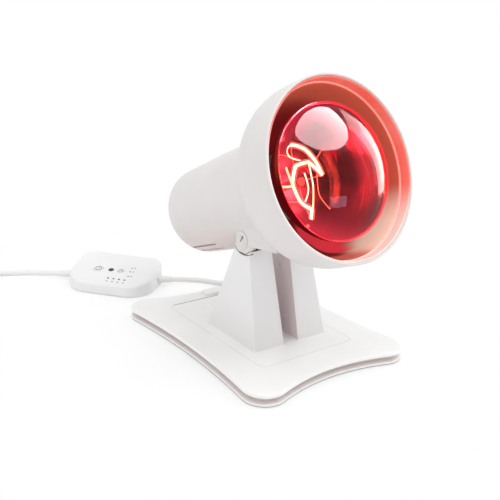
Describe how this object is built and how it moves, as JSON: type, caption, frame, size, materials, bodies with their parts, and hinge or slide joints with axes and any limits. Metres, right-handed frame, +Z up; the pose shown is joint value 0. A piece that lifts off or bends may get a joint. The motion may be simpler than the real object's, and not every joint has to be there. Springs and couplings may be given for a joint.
{
  "type": "infrared heat therapy lamp",
  "caption": "Table-top infrared heat lamp: round tilting head with a red reflector bulb on a two-column stand, weighted base and wired controller.",
  "frame": {"origin": "on the table under the middle of the base; the feet stand on z = 0", "axes": "+Z up; the head shines toward -Y and upward; +X along the tilt axis, to the right when seen from behind the rear edge looking at the front"},
  "size_m": [0.3635, 0.4585, 0.2723],
  "materials": {
    "white_plastic": "satin",
    "ring_plastic": "gloss",
    "grey_plastic": "matt",
    "dark_plastic": "matt",
    "button_plastic": "satin",
    "ceramic": "glazed",
    "board": "satin",
    "lamp_lens": "gloss",
    "steel": "plated",
    "nickel_brass": "nickel plated",
    "tungsten": "drawn",
    "reflector_metal": "satin",
    "bulb_mirror": "aluminised inside",
    "red_glass": "gloss",
    "clear_glass": "clear",
    "dark_rubber": "matt",
    "white_cord": "satin"
  },
  "bodies": {
    "stand": {"base_top_plate": "white_plastic", "base_bottom_tray": "white_plastic", "rubber_feet": "dark_rubber", "base_screws": "steel", "base_ballast": "steel", "rear_cable_cover": "white_plastic", "footplate": "white_plastic", "left_column_shell": "white_plastic", "left_column_cover": "white_plastic", "left_column_frame": "steel", "right_column_shell": "white_plastic", "right_column_cover": "white_plastic", "right_column_frame": "steel", "cover_screws": "steel", "column_screws": "steel", "pivot_bolts": "steel", "friction_washers": "grey_plastic", "pivot_nuts": "steel", "controller_upper_shell": "white_plastic", "controller_lower_shell": "white_plastic", "controller_screws": "steel", "controller_feet": "dark_rubber", "circuit_board": "board", "tactile_switches": "dark_plastic", "power_relay": "dark_plastic", "timer_lamps": "lamp_lens", "level_lamps": "lamp_lens", "base_strain_relief": "white_cord", "controller_lamp_relief": "white_cord", "controller_mains_relief": "white_cord", "lamp_cord": "white_cord", "mains_cord": "white_cord", "mains_cord_coil": "white_cord", "mains_cord_tail": "white_cord", "coil_tie": "dark_plastic", "plug_body": "white_cord", "plug_pins": "nickel_brass"},
    "head": {"lamp_shade": "white_plastic", "front_ring": "ring_plastic", "reflector": "reflector_metal", "rear_housing": "white_plastic", "pivot_saddle": "white_plastic", "pivot_caps": "white_plastic", "housing_screws": "steel", "bulb_face": "red_glass", "bulb_reflector": "bulb_mirror", "bulb_screw_cap": "nickel_brass", "bulb_contact": "nickel_brass", "bulb_stem": "clear_glass", "bulb_filament": "tungsten", "filament_supports": "steel", "lamp_holder_body": "ceramic", "holder_screw_shell": "nickel_brass", "holder_centre_contact": "nickel_brass", "holder_bracket": "steel", "holder_screws": "steel"},
    "power_button": {"power_button": "button_plastic"},
    "level_button": {"level_button": "grey_plastic"},
    "timer_button": {"timer_button": "button_plastic"}
  },
  "joints": [
    {"name": "head_tilt", "type": "hinge", "parent": "stand", "child": "head", "pos_m": [0, -0.0131, 0.1136], "axis": [-1, 0, 0], "range_deg": [-25, 17]},
    {"name": "power_button_press", "type": "slide", "parent": "stand", "child": "power_button", "axis": [0.1754, 0.1472, -0.9734], "range_m": [0, 0.0005], "stiffness_N_per_m": 500, "springref_m": -0.0012},
    {"name": "level_button_press", "type": "slide", "parent": "stand", "child": "level_button", "axis": [0.1754, 0.1472, -0.9734], "range_m": [0, 0.0005], "stiffness_N_per_m": 500, "springref_m": -0.0012},
    {"name": "timer_button_press", "type": "slide", "parent": "stand", "child": "timer_button", "axis": [0.1754, 0.1472, -0.9734], "range_m": [0, 0.0005], "stiffness_N_per_m": 500, "springref_m": -0.0012}
  ]
}
